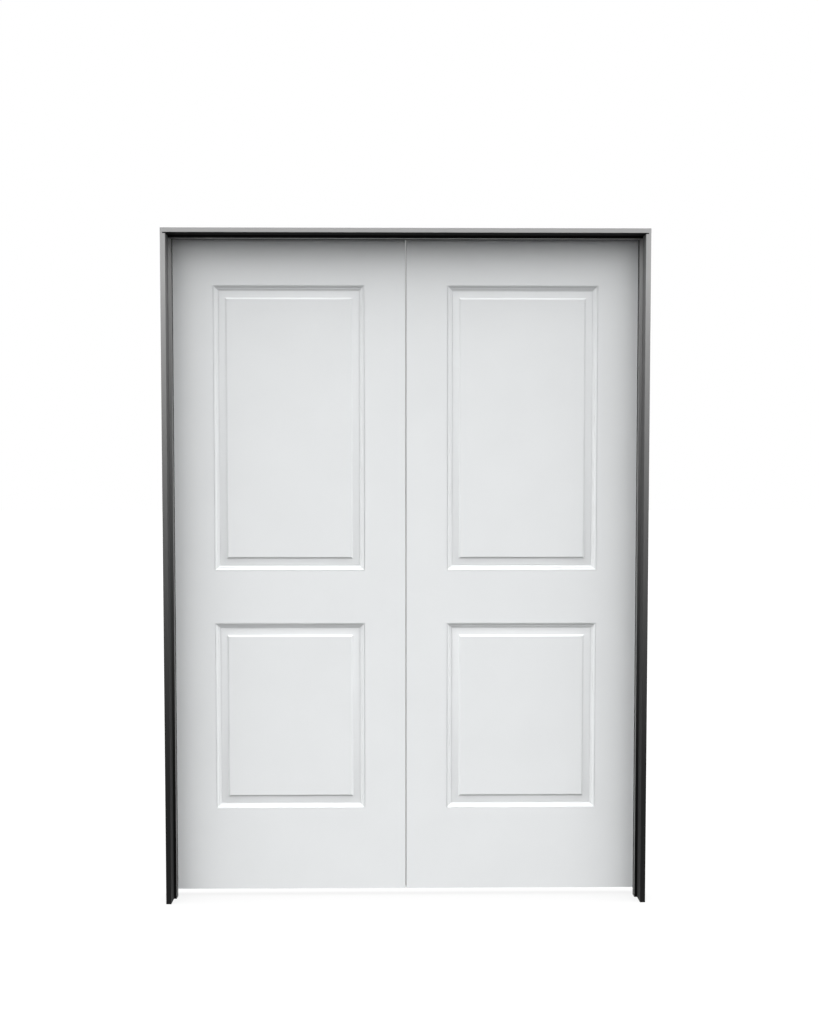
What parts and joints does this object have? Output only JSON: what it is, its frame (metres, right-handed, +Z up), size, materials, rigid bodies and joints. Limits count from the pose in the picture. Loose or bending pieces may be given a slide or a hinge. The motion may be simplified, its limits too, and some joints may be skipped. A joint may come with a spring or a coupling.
{
  "type": "double interior door",
  "caption": "Double interior door: hinged white leaves with moulded raised panels, closing against stops in a flat, dark jamb frame.",
  "frame": {"origin": "on the floor, midway across the frame and midway through its depth, counting the hinge barrels", "axes": "+X to the right seen from the stop side, +Y towards the side the leaves swing to, +Z up"},
  "size_m": [1.462, 0.1269, 2.041],
  "materials": {
    "leaf_paint": "smooth satin white paint on moulded board",
    "frame_paint": "satin grey paint, darker towards the floor",
    "stile_pine": "bare planed softwood",
    "core_board": "pressed particle board",
    "hinge_steel": "satin plated steel",
    "screw_steel": "bright zinc plated steel"
  },
  "bodies": {
    "frame": {"left_jamb": "frame_paint", "right_jamb": "frame_paint", "head_jamb": "frame_paint", "left_stop": "frame_paint", "right_stop": "frame_paint", "head_stop": "frame_paint", "stop_nails": "screw_steel", "corner_screws": "screw_steel", "left_low_jamb_plate": "hinge_steel", "left_low_pin": "hinge_steel", "left_middle_jamb_plate": "hinge_steel", "left_middle_pin": "hinge_steel", "left_high_jamb_plate": "hinge_steel", "left_high_pin": "hinge_steel", "left_jamb_screws": "screw_steel", "right_low_jamb_plate": "hinge_steel", "right_low_pin": "hinge_steel", "right_middle_jamb_plate": "hinge_steel", "right_middle_pin": "hinge_steel", "right_high_jamb_plate": "hinge_steel", "right_high_pin": "hinge_steel", "right_jamb_screws": "screw_steel"},
    "left_leaf": {"left_front_skin": "leaf_paint", "left_back_skin": "leaf_paint", "left_hinge_stile": "stile_pine", "left_meeting_stile": "stile_pine", "left_top_rail": "stile_pine", "left_bottom_rail": "stile_pine", "left_core": "core_board", "left_low_leaf_plate": "hinge_steel", "left_middle_leaf_plate": "hinge_steel", "left_high_leaf_plate": "hinge_steel", "left_leaf_screws": "screw_steel"},
    "right_leaf": {"right_front_skin": "leaf_paint", "right_back_skin": "leaf_paint", "right_hinge_stile": "stile_pine", "right_meeting_stile": "stile_pine", "right_top_rail": "stile_pine", "right_bottom_rail": "stile_pine", "right_core": "core_board", "right_low_leaf_plate": "hinge_steel", "right_middle_leaf_plate": "hinge_steel", "right_high_leaf_plate": "hinge_steel", "right_leaf_screws": "screw_steel"}
  },
  "joints": [
    {"name": "left_swing", "type": "hinge", "parent": "frame", "child": "left_leaf", "pos_m": [-0.714, 0.0582, 1.023], "axis": [0, 0, 1], "range_deg": [0, 170]},
    {"name": "right_swing", "type": "hinge", "parent": "frame", "child": "right_leaf", "pos_m": [0.714, 0.0582, 1.023], "axis": [0, 0, -1], "range_deg": [0, 170]}
  ]
}
